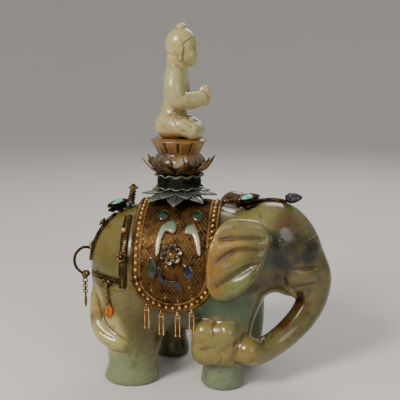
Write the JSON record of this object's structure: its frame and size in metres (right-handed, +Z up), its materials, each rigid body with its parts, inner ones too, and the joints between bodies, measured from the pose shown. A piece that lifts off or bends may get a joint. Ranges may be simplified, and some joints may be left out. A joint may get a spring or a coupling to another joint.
{
  "type": "jade elephant figurine",
  "caption": "Carved jade elephant in a gilt filigree saddle cloth and harness with swinging tassels, carrying a metal lotus mount, a carved lotus throne and a seated figure.",
  "frame": {"origin": "on the plane the feet rest on, under the centre of the bounding box", "axes": "+X towards the head, +Y towards the far flank, +Z up"},
  "size_m": [0.1324, 0.067, 0.18],
  "materials": {
    "jade": "polished green jade with brown skin",
    "pale_jade": "polished pale jade",
    "amber_jade": "polished brown jade",
    "gilt": "worn gilt wire",
    "copper_leaf": "gilt leaf with orange enamel",
    "dark_filigree": "tarnished gilt silver filigree",
    "silver_brown": "tarnished silver",
    "enamel_pale": "pale green enamel",
    "enamel_green": "green enamel",
    "enamel_blue": "dark blue enamel",
    "enamel_grey": "grey green enamel",
    "turquoise": "polished turquoise",
    "dark_stone": "polished dark stone",
    "steel": "plain"
  },
  "bodies": {
    "root": {"breeching_clasps": "dark_filigree", "brow_bud": "enamel_blue", "centre_stud": "steel", "crupper_bead": "gilt", "crupper_finial": "dark_filigree", "crupper_flower": "dark_filigree", "crupper_strap": "dark_filigree", "elephant": "jade", "enamel_buds": "enamel_blue", "enamel_clouds": "enamel_pale", "enamel_leaves": "enamel_green", "enamel_stems": "enamel_blue", "far_breeching_strap": "dark_filigree", "far_flank_strap": "dark_filigree", "flank_beads": "gilt", "flank_flowers": "dark_filigree", "flower_bosses": "gilt", "fringe_loops": "gilt", "head_cabochon": "turquoise", "head_link": "dark_filigree", "head_rosette": "dark_filigree", "head_strap": "dark_filigree", "leaf_cup": "dark_filigree", "leaf_skirt_lower": "enamel_grey", "leaf_skirt_upper": "enamel_grey", "lotus_collar": "dark_filigree", "lotus_throne": "amber_jade", "near_breeching_strap": "dark_filigree", "near_flank_strap": "dark_filigree", "rear_clasp": "dark_filigree", "rump_bead": "dark_stone", "rump_cabochon": "turquoise", "rump_rosette": "dark_filigree", "saddle_bead_row": "gilt", "saddle_cloth": "gilt", "saddle_flowers": "silver_brown", "saddle_inner_rim": "gilt", "saddle_rope_border": "gilt", "seated_figure": "pale_jade", "skirt_spacer": "dark_filigree", "stud_nut": "steel", "tail_hoop": "dark_filigree"},
    "near_tassel_1": {"near_tassel_1": "gilt"},
    "near_tassel_2": {"near_tassel_2": "gilt"},
    "near_tassel_3": {"near_tassel_3": "gilt"},
    "near_tassel_4": {"near_tassel_4": "gilt"},
    "far_tassel_1": {"far_tassel_1": "gilt"},
    "far_tassel_2": {"far_tassel_2": "gilt"},
    "far_tassel_3": {"far_tassel_3": "gilt"},
    "far_tassel_4": {"far_tassel_4": "gilt"},
    "near_drop_chain": {"near_drop_chain": "dark_filigree"},
    "near_drop_leaf": {"near_drop_leaf": "copper_leaf"},
    "far_drop_chain": {"far_drop_chain": "dark_filigree"},
    "far_drop_leaf": {"far_drop_leaf": "copper_leaf"},
    "rear_drop_chain": {"rear_drop_chain": "dark_filigree"},
    "rear_drop_leaf": {"rear_drop_leaf": "gilt"}
  },
  "joints": [
    {"name": "near_tassel_1_swing", "type": "hinge", "parent": "root", "child": "near_tassel_1", "pos_m": [-0.0236, -0.03096, 0.04449], "axis": [-1, 0, 0], "range_deg": [0, 60]},
    {"name": "near_tassel_2_swing", "type": "hinge", "parent": "root", "child": "near_tassel_2", "pos_m": [-0.0166, -0.03005, 0.04111], "axis": [-1, 0, 0], "range_deg": [0, 60]},
    {"name": "near_tassel_3_swing", "type": "hinge", "parent": "root", "child": "near_tassel_3", "pos_m": [-0.0086, -0.02976, 0.04039], "axis": [-1, 0, 0], "range_deg": [0, 60]},
    {"name": "near_tassel_4_swing", "type": "hinge", "parent": "root", "child": "near_tassel_4", "pos_m": [-0.0016, -0.03029, 0.04218], "axis": [-1, 0, 0], "range_deg": [0, 60]},
    {"name": "far_tassel_1_swing", "type": "hinge", "parent": "root", "child": "far_tassel_1", "pos_m": [-0.0236, 0.03096, 0.04449], "axis": [1, 0, 0], "range_deg": [0, 60]},
    {"name": "far_tassel_2_swing", "type": "hinge", "parent": "root", "child": "far_tassel_2", "pos_m": [-0.0166, 0.03005, 0.04111], "axis": [1, 0, 0], "range_deg": [0, 60]},
    {"name": "far_tassel_3_swing", "type": "hinge", "parent": "root", "child": "far_tassel_3", "pos_m": [-0.0086, 0.02976, 0.04039], "axis": [1, 0, 0], "range_deg": [0, 60]},
    {"name": "far_tassel_4_swing", "type": "hinge", "parent": "root", "child": "far_tassel_4", "pos_m": [-0.0016, 0.03029, 0.04218], "axis": [1, 0, 0], "range_deg": [0, 60]},
    {"name": "near_drop_chain_swing", "type": "hinge", "parent": "root", "child": "near_drop_chain", "pos_m": [-0.0434, -0.02822, 0.0491], "axis": [0, 1, 0], "range_deg": [0, 25]},
    {"name": "near_drop_leaf_swing", "type": "hinge", "parent": "near_drop_chain", "child": "near_drop_leaf", "pos_m": [-0.0434, -0.02822, 0.0449], "axis": [-1, 0, 0], "range_deg": [0, 50]},
    {"name": "far_drop_chain_swing", "type": "hinge", "parent": "root", "child": "far_drop_chain", "pos_m": [-0.0434, 0.02822, 0.0491], "axis": [0, 1, 0], "range_deg": [-25, 25]},
    {"name": "far_drop_leaf_swing", "type": "hinge", "parent": "far_drop_chain", "child": "far_drop_leaf", "pos_m": [-0.0434, 0.02822, 0.0449], "axis": [1, 0, 0], "range_deg": [0, 50]},
    {"name": "rear_drop_chain_swing", "type": "hinge", "parent": "root", "child": "rear_drop_chain", "pos_m": [-0.0604, -0.0105, 0.0477], "axis": [1, 0, 0], "range_deg": [-25, 25]},
    {"name": "rear_drop_leaf_swing", "type": "hinge", "parent": "rear_drop_chain", "child": "rear_drop_leaf", "pos_m": [-0.0604, -0.0105, 0.0435], "axis": [0, 1, 0], "range_deg": [0, 50]}
  ]
}
